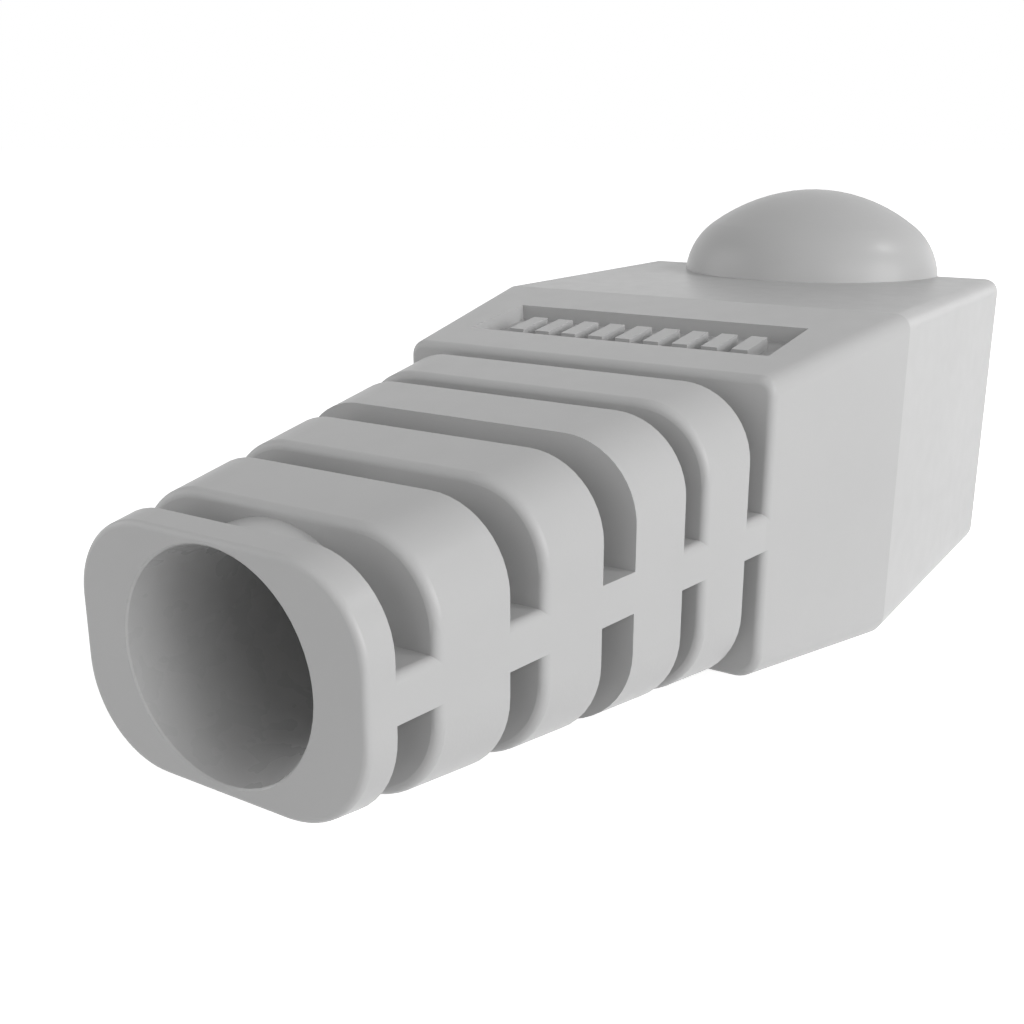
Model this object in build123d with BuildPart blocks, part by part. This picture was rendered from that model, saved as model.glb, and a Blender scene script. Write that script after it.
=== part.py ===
from build123d import *
import os

os.makedirs("parts", exist_ok=True)

# Strain relief boot for an eight-way modular plug, one soft moulding. Millimetres.
# X runs from the cable end to the plug end, Y across and Z up. Stations along the boot are
# counted from the cable end, and heights from its middle, until the last block sets it down.

# Cable hole: a flared mouth with its edge broken, then a straight bore in a thin core tube
bore_diameter = 4.5
core_wall = 0.45
mouth_flare = 0.35
mouth_depth = 2.6
mouth_chamfer = 0.04
hole_rise = 0.05

# Plug seat, and the walls of the sleeve around it
plug_width = 11.7
plug_height = 8.1
plug_clearance = 0.1
side_wall = 1.36
top_wall = 1.08
seat_depth = 11.0
seat_corner = 0.4
lead_in = 0.3

# Chamber behind the seat, narrower by the step that stops the plug
stop_side_step = 0.65
stop_top_step = 0.55
chamber_depth = 6.4
chamber_rear_width = 7.4
chamber_rear_height = 5.6
chamber_corner = 1.2

# Outer form: it widens evenly from the cable end to the neck, faster to the sleeve's start
end_side_wall = 1.34
end_top_wall = 0.22
neck_width = 11.93
neck_height = 8.62
flare_length = 7.4
sleeve_length = 11.56
tail_top_corner = 2.0
tail_low_corner = 2.25
head_top_corner = 0.5
head_low_corner = 0.8
end_rounding = 0.15

# Tail, from the cable end: each ring's length, the slot after it, and how far the slot's
# far edges are rounded
tail = (
    (0.76, 1.12, 0.22),
    (2.12, 1.15, 0.22),
    (2.01, 1.24, 0.0),
    (2.02, 0.96, 0.22),
    (1.98, 1.06, 0.24),
)
rib_height = 1.04
rib_rise = 0.09

# Hood over the plug's latch: half a round bubble with a flatter crown, and a ball-shaped hollow
hood_radius = 5.06
hood_rise = 3.38
hood_edge_radius = 2.55
hood_sink = 0.22
hood_wall = 0.9
hollow_radius = 4.0

# Sunk panel on the sloping top of the head, with a row of plain grip bars
panel_start = 1.91
panel_length = 3.1
panel_width = 10.0
panel_depth = 0.5
bar_count = 9
bar_pitch = 0.95
bar_width = 0.5
bar_length = 1.5
bar_height = 0.36

# Sizes that follow from the ones above
mouth_diameter = bore_diameter + 2 * mouth_flare
core_diameter = bore_diameter + 2 * core_wall
seat_width = plug_width + 2 * plug_clearance
seat_height = plug_height + 2 * plug_clearance
end_width = mouth_diameter + 2 * end_side_wall
end_height = mouth_diameter + 2 * end_top_wall
head_width = seat_width + 2 * side_wall
head_height = seat_height + 2 * top_wall

flare_run = mouth_depth - mouth_chamfer
flare_radius = (flare_run**2 + mouth_flare**2) / (2 * mouth_flare)

# Hood's arch, from its crown through the joint of its two arcs to its foot
crown = Vector(0, hood_rise)
foot = Vector(hood_radius, 0)
edge_centre = Vector(hood_radius - hood_edge_radius, 0)
crown_radius = (edge_centre.X**2 + hood_rise**2 - hood_edge_radius**2) / (2 * (hood_rise - hood_edge_radius))
crown_centre = Vector(0, hood_rise - crown_radius)
joint = edge_centre + (edge_centre - crown_centre).normalized() * hood_edge_radius

slots = []
tail_length = 0
for ring_length, slot_width, rounding in tail:
    slots.append((tail_length + ring_length, slot_width, rounding))
    tail_length += ring_length + slot_width

sleeve_start = tail_length + flare_length
boot_length = sleeve_start + sleeve_length
seat_start = boot_length - seat_depth
chamber_start = seat_start - chamber_depth


def size_at(station, at_end, at_neck, at_sleeve):
    """Width or height at a distance from the cable end, from those of the three sections."""
    if station < tail_length:
        return at_end + (at_neck - at_end) * station / tail_length
    return at_neck + (at_sleeve - at_neck) * (station - tail_length) / flare_length


def half_width(station):
    """Half the boot's width at a distance from the cable end, up to the sleeve."""
    return size_at(station, end_width, neck_width, head_width) / 2


def half_height(station):
    """Half the boot's height at a distance from the cable end, up to the sleeve."""
    return size_at(station, end_height, neck_height, head_height) / 2


def outline(half, stations):
    """Points round the boot through the stations, seen from above or from the side."""
    edge = [(station, half(station)) for station in stations]
    return edge + [(station, -size) for station, size in reversed(edge)]


def tapered_block(start, end):
    """Block between two stations that follows the boot's width and height, with sharp edges."""
    with BuildPart() as block:
        with BuildSketch(Plane.XY):
            Polygon(*outline(half_width, (start, end)), align=None)
        extrude(amount=head_height, both=True)
        with BuildSketch(Plane.XZ):
            Polygon(*outline(half_height, (start, end)), align=None)
        extrude(amount=head_width, both=True, mode=Mode.INTERSECT)
    return block.part


def long_edges(part):
    """Edges that run along a part, in groups from the lowest to the highest."""
    return part.edges().filter_by(lambda edge: abs(edge.tangent_at(0.5).X) > 0.9).group_by(Axis.Z)


# Rings: the tapered tail with rounded corners, cut apart by the slots
tail_block = tapered_block(0, tail_length)
with BuildPart() as rings:
    add(tail_block)
    fillet(long_edges(rings)[-1], tail_top_corner)
    fillet(long_edges(rings)[0], tail_low_corner)
    for start, slot_width, rounding in slots:
        with BuildSketch(Plane.YZ.offset(start)):
            Rectangle(head_width, head_height)
        extrude(amount=slot_width, mode=Mode.SUBTRACT)
    for (start, slot_width, rounding), ring in zip(slots, rings.solids().sort_by(Axis.X)[1:]):
        if rounding:
            fillet(ring.faces().sort_by(Axis.X)[0].edges(), rounding)
    fillet(rings.faces().sort_by(Axis.X)[0].edges(), end_rounding)

# Ribs: one across each slot near mid height, flush with the rings on both sides
with BuildPart() as ribs:
    for start, slot_width, rounding in slots:
        end = start + slot_width
        with BuildSketch(Plane.XY.offset(rib_rise)):
            Polygon(*outline(half_width, sorted({start, end, end + rounding})), align=None)
        extrude(amount=rib_height / 2, both=True)
    for (start, slot_width, rounding), rib in zip(slots, ribs.solids().sort_by(Axis.X)):
        if rounding:
            fillet(long_edges(rib)[-1], rounding)

# Core: the thin tube round the bore that shows inside the slots
with BuildPart() as core:
    with BuildSketch(Plane((0, 0, hole_rise), x_dir=(0, 1, 0), z_dir=(1, 0, 0))):
        Circle(core_diameter / 2)
    extrude(amount=tail_length)

# Head: the flare behind the neck, then the straight sleeve
flare_block = tapered_block(tail_length, sleeve_start)
with BuildPart() as head:
    add(flare_block)
    fillet(long_edges(head)[-1], head_top_corner)
    fillet(long_edges(head)[0], head_low_corner)
    extrude(head.faces().sort_by(Axis.X)[-1], amount=sleeve_length)
    last_rounding = slots[-1][2]
    if last_rounding:
        fillet(head.faces().sort_by(Axis.X)[0].edges(), last_rounding)

# Hood, about the middle of its foot: an arch of two tangent arcs, turned through half a circle,
# and the ball that hollows it
with BuildPart() as hood:
    with BuildSketch(Plane.YZ):
        with BuildLine():
            RadiusArc(crown, joint, crown_radius)
            RadiusArc(joint, foot, hood_edge_radius)
            Polyline(foot, (0, 0), crown)
        make_face()
    revolve(axis=Axis.Z, revolution_arc=180)
with BuildPart() as hood_hollow:
    Sphere(hollow_radius)

# Panel and its bars, on the plane of the slope
slope_start = half_height(tail_length)
slope_rise = half_height(sleeve_start) - slope_start
slope = Plane(
    (tail_length, 0, slope_start),
    x_dir=(flare_length, 0, slope_rise),
    z_dir=(-slope_rise, 0, flare_length),
)
panel_centre = (panel_start + panel_length / 2, 0)
with BuildPart() as panel:
    with BuildSketch(slope):
        with Locations(panel_centre):
            Rectangle(panel_length, panel_width)
    extrude(amount=-panel_depth)
with BuildPart() as bars:
    with BuildSketch(slope.offset(-panel_depth)):
        with Locations(panel_centre):
            with GridLocations(0, bar_pitch, 1, bar_count):
                Rectangle(bar_length, bar_width)
    extrude(amount=bar_height)

# Cable hole, turned about its own axis; it opens into the chamber
with BuildPart() as cable_hole:
    with BuildSketch(Plane.XY.offset(hole_rise)):
        with BuildLine():
            rim = (0, mouth_diameter / 2 + mouth_chamfer)
            mouth_edge = (mouth_chamfer, mouth_diameter / 2)
            bore_start = (mouth_depth, bore_diameter / 2)
            RadiusArc(bore_start, mouth_edge, flare_radius)
            Polyline(mouth_edge, rim, (0, 0), (seat_start, 0), (seat_start, bore_diameter / 2), bore_start)
        make_face()
    revolve(axis=Axis((0, 0, hole_rise), (1, 0, 0)))

# Plug seat with its lead-in, and the chamber that the cable crosses behind it
with BuildPart() as cavity:
    with BuildSketch(Plane.YZ.offset(seat_start)):
        RectangleRounded(seat_width, seat_height, seat_corner)
    extrude(amount=seat_depth)
    with BuildSketch(Plane.YZ.offset(boot_length)):
        RectangleRounded(seat_width + 2 * lead_in, seat_height + 2 * lead_in, seat_corner + lead_in)
    extrude(amount=-lead_in, taper=45)
    with BuildSketch(Plane.YZ.offset(seat_start)):
        RectangleRounded(seat_width - 2 * stop_side_step, seat_height - 2 * stop_top_step, chamber_corner)
    with BuildSketch(Plane.YZ.offset(chamber_start)):
        RectangleRounded(chamber_rear_width, chamber_rear_height, chamber_corner)
    loft()

# The moulding, set down with the middle of its footprint at the origin
with BuildPart(Plane((-boot_length / 2, 0, head_height / 2))) as boot:
    add(rings.part)
    add(ribs.part)
    add(core.part)
    add(head.part)
    with Locations((boot_length, 0, head_height / 2 - hood_sink)):
        add(hood.part)
    add(panel.part, mode=Mode.SUBTRACT)
    add(bars.part)
    add(cable_hole.part, mode=Mode.SUBTRACT)
    add(cavity.part, mode=Mode.SUBTRACT)
    with Locations((boot_length, 0, head_height / 2 - hood_sink + hood_rise - hood_wall - hollow_radius)):
        add(hood_hollow.part, mode=Mode.SUBTRACT)

boot.part.label = "boot"
export_step(boot.part, "parts/boot.step")
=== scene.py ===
"""Dresses, lights and frames the strain relief boot for the photograph's view."""
import logging
import math
from dataclasses import dataclass, field
from enum import Enum

import bmesh
import bpy
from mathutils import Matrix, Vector

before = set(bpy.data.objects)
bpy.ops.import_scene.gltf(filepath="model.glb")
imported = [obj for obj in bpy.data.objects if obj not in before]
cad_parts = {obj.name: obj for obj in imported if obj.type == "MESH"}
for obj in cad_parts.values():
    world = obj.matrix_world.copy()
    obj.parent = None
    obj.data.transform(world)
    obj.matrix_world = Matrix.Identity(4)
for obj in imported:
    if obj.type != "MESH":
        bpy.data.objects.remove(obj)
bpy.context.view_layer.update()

log = logging.getLogger("boot_scene")

MM = 0.001
WHITE = (1.0, 1.0, 1.0, 1.0)

Socket = bpy.types.NodeSocket


class Sum(Enum):
    """Sums that a Math node does."""

    ADD = "ADD"
    TIMES = "MULTIPLY"
    LARGER = "MAXIMUM"
    BELOW = "LESS_THAN"


@dataclass
class Wiring:
    """Places nodes in a material's or a world's tree, and links them."""

    tree: bpy.types.NodeTree
    column: float = 0
    column_step: float = 180
    noise_low: float = 0.3
    noise_high: float = 0.7

    def add(self, kind: str, **settings: object) -> bpy.types.Node:
        """Adds one node and sets its plain properties.

        Args:
            kind: The node's type name.
            settings: Property names and their values.

        Returns:
            The new node.
        """
        node = self.tree.nodes.new(kind)
        node.location = (self.column, 0)
        self.column += self.column_step
        for name, value in settings.items():
            setattr(node, name, value)
        return node

    def join(self, output: Socket, target: Socket) -> None:
        """Links an output to an input."""
        self.tree.links.new(output, target)

    def sum(self, what: Sum, first: Socket, second: Socket | float) -> Socket:
        """Adds a Math node.

        Args:
            what: The sum to do.
            first: Its first value.
            second: Its second value, which may be a plain number.

        Returns:
            The result.
        """
        node = self.add("ShaderNodeMath", operation=what.value)
        self.join(first, node.inputs[0])
        if isinstance(second, Socket):
            self.join(second, node.inputs[1])
        else:
            node.inputs[1].default_value = second
        return node.outputs["Value"]

    def seen(self) -> Socket:
        """Tells the rays that show the studio, directly or in a reflection, from those that light it.

        Returns:
            1 for camera, glossy and transmission rays, 0 for the rest.
        """
        path = self.add("ShaderNodeLightPath")
        glossy = self.sum(Sum.LARGER, path.outputs["Is Camera Ray"], path.outputs["Is Glossy Ray"])
        return self.sum(Sum.LARGER, glossy, path.outputs["Is Transmission Ray"])

    def noise(self, place: Socket, size: float, detail: float) -> Socket:
        """Adds a noise texture that reads the given coordinates.

        Args:
            place: The coordinates.
            size: Rough size of one feature, in metres.
            detail: Octaves.

        Returns:
            The noise's value.
        """
        node = self.add("ShaderNodeTexNoise")
        node.inputs["Scale"].default_value = 1 / size
        node.inputs["Detail"].default_value = detail
        self.join(place, node.inputs["Vector"])
        return node.outputs["Fac"]

    def spread(self, value: Socket, low: float, high: float) -> Socket:
        """Stretches a noise's middle range over a new range.

        Args:
            value: The value to stretch.
            low: The result at the noise's low end.
            high: The result at its high end.

        Returns:
            The stretched value.
        """
        node = self.add("ShaderNodeMapRange")
        node.inputs["From Min"].default_value = self.noise_low
        node.inputs["From Max"].default_value = self.noise_high
        node.inputs["To Min"].default_value = low
        node.inputs["To Max"].default_value = high
        self.join(value, node.inputs["Value"])
        return node.outputs["Result"]

    def bump(self, height: Socket, depth: float) -> bpy.types.Node:
        """Adds a bump of the given depth, in metres.

        Args:
            height: The height from 0 to 1.
            depth: How far 1 stands above 0.

        Returns:
            The bump node.
        """
        node = self.add("ShaderNodeBump")
        node.inputs["Strength"].default_value = 1
        node.inputs["Distance"].default_value = depth
        self.join(height, node.inputs["Height"])
        return node


@dataclass(frozen=True)
class SoftVinyl:
    """Satin grey soft vinyl: finely eroded outside, smoother where the core pin formed the bore."""

    name: str = "soft_vinyl"
    shade: tuple[float, float, float] = (0.445, 0.445, 0.445)
    tint: tuple[float, float, float] = (0.43, 0.43, 0.43)
    gloss: float = 0.22
    roughness: float = 0.32
    roughness_swing: float = 0.025
    pin_roughness: float = 0.28
    pin_radius: float = 2.66 * MM
    pin_height: float = 5.28 * MM
    flow_size: float = 6 * MM
    flow_detail: float = 3
    skin_size: float = 0.8 * MM
    skin_detail: float = 2
    skin_depth: float = 0.0025 * MM
    grain_size: float = 0.07 * MM
    grain_detail: float = 2
    grain_depth: float = 0.0018 * MM

    def make(self) -> bpy.types.Material:
        """Builds the material.

        Returns:
            The finished material.
        """
        material = bpy.data.materials.new(self.name)
        material.use_nodes = True
        wiring = Wiring(material.node_tree)
        shader = material.node_tree.nodes["Principled BSDF"]
        place = wiring.add("ShaderNodeTexCoord").outputs["Object"]
        skin = wiring.noise(place, self.skin_size, self.skin_detail)
        wiring.join(self.colour(wiring, place), shader.inputs["Base Color"])
        wiring.join(self.polish(wiring, place, skin), shader.inputs["Roughness"])
        wiring.join(self.surface(wiring, place, skin), shader.inputs["Normal"])
        shader.inputs["Specular IOR Level"].default_value = self.gloss
        return material

    def colour(self, wiring: Wiring, place: Socket) -> Socket:
        """Drifts slowly between two near shades, as the melt flowed.

        Args:
            wiring: The material's wiring.
            place: Object coordinates.

        Returns:
            The colour.
        """
        flow = wiring.noise(place, self.flow_size, self.flow_detail)
        mix = wiring.add("ShaderNodeMix", data_type="RGBA")
        mix.inputs["A"].default_value = (*self.shade, 1)
        mix.inputs["B"].default_value = (*self.tint, 1)
        wiring.join(wiring.spread(flow, 0, 1), mix.inputs["Factor"])
        return mix.outputs["Result"]

    def polish(self, wiring: Wiring, place: Socket, skin: Socket) -> Socket:
        """Varies the roughness with the skin, and lowers it in the bore.

        Args:
            wiring: The material's wiring.
            place: Object coordinates.
            skin: The skin's unevenness.

        Returns:
            The roughness.
        """
        low = self.roughness - self.roughness_swing
        high = self.roughness + self.roughness_swing
        outside = wiring.spread(skin, low, high)
        change = wiring.sum(Sum.TIMES, self.in_bore(wiring, place), self.pin_roughness - self.roughness)
        return wiring.sum(Sum.ADD, outside, change)

    def surface(self, wiring: Wiring, place: Socket, skin: Socket) -> Socket:
        """Lays a fine eroded grain over the skin's slight unevenness.

        Args:
            wiring: The material's wiring.
            place: Object coordinates.
            skin: The skin's unevenness.

        Returns:
            The normal.
        """
        unevenness = wiring.bump(skin, self.skin_depth)
        grain = wiring.bump(wiring.noise(place, self.grain_size, self.grain_detail), self.grain_depth)
        wiring.join(unevenness.outputs["Normal"], grain.inputs["Normal"])
        return grain.outputs["Normal"]

    def in_bore(self, wiring: Wiring, place: Socket) -> Socket:
        """Marks the wall of the round hole, by its distance from the hole's axis.

        Args:
            wiring: The material's wiring.
            place: Object coordinates.

        Returns:
            1 on the hole's wall, 0 elsewhere.
        """
        across = wiring.add("ShaderNodeVectorMath", operation="MULTIPLY_ADD")
        wiring.join(place, across.inputs[0])
        across.inputs[1].default_value = (0, 1, 1)
        across.inputs[2].default_value = (0, 0, -self.pin_height)
        distance = wiring.add("ShaderNodeVectorMath", operation="LENGTH")
        wiring.join(across.outputs["Vector"], distance.inputs[0])
        return wiring.sum(Sum.BELOW, distance.outputs["Value"], self.pin_radius)


@dataclass(frozen=True)
class StudioPaper:
    """Pale paper that shows as plain white and still takes a shadow."""

    name: str = "studio_paper"
    shade: tuple[float, float, float] = (0.8, 0.8, 0.8)
    roughness: float = 0.9
    gloss: float = 0
    glow: float = 0.81

    def make(self) -> bpy.types.Material:
        """Builds the material.

        Returns:
            The finished material.
        """
        material = bpy.data.materials.new(self.name)
        material.use_nodes = True
        wiring = Wiring(material.node_tree)
        shader = material.node_tree.nodes["Principled BSDF"]
        shader.inputs["Base Color"].default_value = (*self.shade, 1)
        shader.inputs["Roughness"].default_value = self.roughness
        shader.inputs["Specular IOR Level"].default_value = self.gloss
        shader.inputs["Emission Color"].default_value = WHITE
        glow = wiring.sum(Sum.TIMES, wiring.seen(), self.glow)
        wiring.join(glow, shader.inputs["Emission Strength"])
        return material


@dataclass
class Boot:
    """The boot itself: one moulding, whose form is the CAD solid's."""

    node: str = "boot"
    finish: SoftVinyl = field(default_factory=SoftVinyl)

    def dress(self) -> None:
        """Gives the moulding its finish."""
        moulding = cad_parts[self.node]
        material = self.finish.make()
        for slot in moulding.material_slots:
            slot.material = material
        log.info("%s dressed in %s", self.node, self.finish.name)


def towards(bearing: float, height: float) -> Vector:
    """Turns a bearing and a height into a direction.

    Args:
        bearing: Degrees round from +X, as seen from above.
        height: Degrees above the horizon.

    Returns:
        The direction, of length 1.
    """
    turn, rise = math.radians(bearing), math.radians(height)
    return Vector((math.cos(turn) * math.cos(rise), math.sin(turn) * math.cos(rise), math.sin(rise)))


@dataclass(frozen=True)
class Softbox:
    """Round soft lamp that looks at the boot from a bearing and a height."""

    name: str
    bearing: float
    height: float
    power: float
    distance: float = 0.5
    size: float = 0.3
    aim: tuple[float, float, float] = (0, 0, 6 * MM)

    def hang(self) -> None:
        """Makes the lamp and turns it towards the boot."""
        light = bpy.data.lights.new(self.name, "AREA")
        light.shape = "DISK"
        light.size = self.size
        light.energy = self.power
        outwards = towards(self.bearing, self.height)
        lamp = bpy.data.objects.new(self.name, light)
        lamp.location = Vector(self.aim) + outwards * self.distance
        lamp.rotation_euler = (-outwards).to_track_quat("-Z", "Y").to_euler()
        bpy.context.scene.collection.objects.link(lamp)
        log.info("%s hung", self.name)


@dataclass(frozen=True)
class PhotoCamera:
    """Camera at the place, turn and lens that the photograph was taken with."""

    name: str = "photo_view"
    place: tuple[float, float, float] = (-32.552 * MM, -17.430 * MM, 15.458 * MM)
    yaw: float = 32.97
    pitch: float = 16.78
    lens: float = 43.246
    sensor: float = 36
    nearest: float = 1 * MM

    def set_up(self) -> None:
        """Makes the camera and gives the scene its plain view transform."""
        lens = bpy.data.cameras.new(self.name)
        lens.lens = self.lens
        lens.sensor_width = self.sensor
        lens.clip_start = self.nearest
        camera = bpy.data.objects.new(self.name, lens)
        camera.location = self.place
        camera.rotation_euler = towards(self.yaw, -self.pitch).to_track_quat("-Z", "Y").to_euler()
        scene = bpy.context.scene
        scene.collection.objects.link(camera)
        scene.camera = camera
        scene.view_settings.view_transform = "Standard"
        log.info("camera set")


@dataclass
class Studio:
    """Floor, softboxes and world."""

    paper: StudioPaper = field(default_factory=StudioPaper)
    floor_half: float = 2.0
    world_strength: float = 0.25
    softboxes: tuple[Softbox, ...] = (
        Softbox("low_right_softbox", bearing=-92, height=14, power=1.44),
        Softbox("near_right_softbox", bearing=-120, height=25, power=0.0175, distance=0.1, size=0.05),
        Softbox("key", bearing=-66, height=45, power=0.38, size=0.08),
        Softbox("front_softbox", bearing=-150, height=18, power=0.08),
        Softbox("cable_end_softbox", bearing=180, height=12, power=0.44, size=0.4),
        Softbox("left_softbox", bearing=112, height=16, power=0.73, size=0.4),
        Softbox("plug_end_softbox", bearing=-22, height=8, power=0.1, size=0.2),
    )

    def lay_floor(self) -> None:
        """Lays a plain floor under the boot."""
        shape = bmesh.new()
        bmesh.ops.create_grid(shape, x_segments=1, y_segments=1, size=self.floor_half)
        mesh = bpy.data.meshes.new("floor")
        shape.to_mesh(mesh)
        shape.free()
        mesh.materials.append(self.paper.make())
        floor = bpy.data.objects.new("floor", mesh)
        bpy.context.scene.collection.objects.link(floor)
        log.info("floor laid")

    def hang_softboxes(self) -> None:
        """Hangs the lamps one by one."""
        for softbox in self.softboxes:
            softbox.hang()

    def set_world(self) -> None:
        """Sets a pale world that lights softly and shows as white."""
        world = bpy.data.worlds.new("studio")
        world.use_nodes = True
        wiring = Wiring(world.node_tree)
        background = world.node_tree.nodes["Background"]
        background.inputs["Color"].default_value = WHITE
        level = wiring.add("ShaderNodeMapRange")
        level.inputs["To Min"].default_value = self.world_strength
        level.inputs["To Max"].default_value = 1
        wiring.join(wiring.seen(), level.inputs["Value"])
        wiring.join(level.outputs["Result"], background.inputs["Strength"])
        bpy.context.scene.world = world
        log.info("world set")


def main() -> None:
    """Builds the scene in order."""
    logging.basicConfig(level=logging.INFO)
    Boot().dress()
    studio = Studio()
    studio.lay_floor()
    studio.hang_softboxes()
    studio.set_world()
    PhotoCamera().set_up()


if __name__ == "__main__":
    main()
